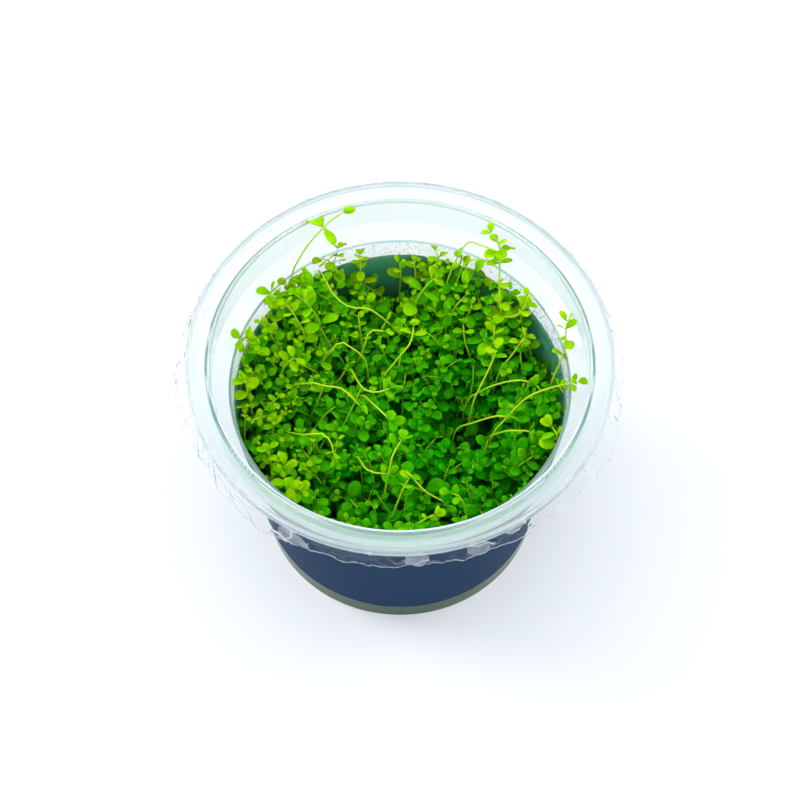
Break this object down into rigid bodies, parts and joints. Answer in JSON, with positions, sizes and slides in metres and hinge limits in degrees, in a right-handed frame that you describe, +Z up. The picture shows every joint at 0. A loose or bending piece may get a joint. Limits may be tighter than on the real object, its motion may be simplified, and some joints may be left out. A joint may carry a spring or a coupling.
{
  "type": "carpet plant in a tissue-culture cup",
  "caption": "Low carpet plant with small round leaves on thin stems, growing on gel in a clear stepped cup with a wrap-round label and a film seal.",
  "frame": {"origin": "centre of the cup's flat base, on the surface it stands on", "axes": "+Z up along the cup's axis, -Y towards the front where the film is torn lowest, +X to the right seen from the front"},
  "size_m": [0.1058, 0.1041, 0.0734],
  "materials": {
    "clear_plastic": "clear, slightly milky injection-moulded polypropylene",
    "label_film": "bare navy wrap-round label, satin",
    "gel": "cloudy culture gel, wet",
    "seal_film": "clear peelable sealing film, torn",
    "plant": "living leaves and stems, satin"
  },
  "bodies": {
    "root": {"cup": "clear_plastic", "label": "label_film", "culture_gel": "gel", "seal_film": "seal_film", "plantlet_01": "plant", "plantlet_02": "plant", "plantlet_03": "plant", "plantlet_04": "plant", "plantlet_05": "plant", "plantlet_06": "plant", "plantlet_07": "plant", "plantlet_08": "plant", "plantlet_09": "plant", "plantlet_10": "plant"}
  },
  "joints": []
}
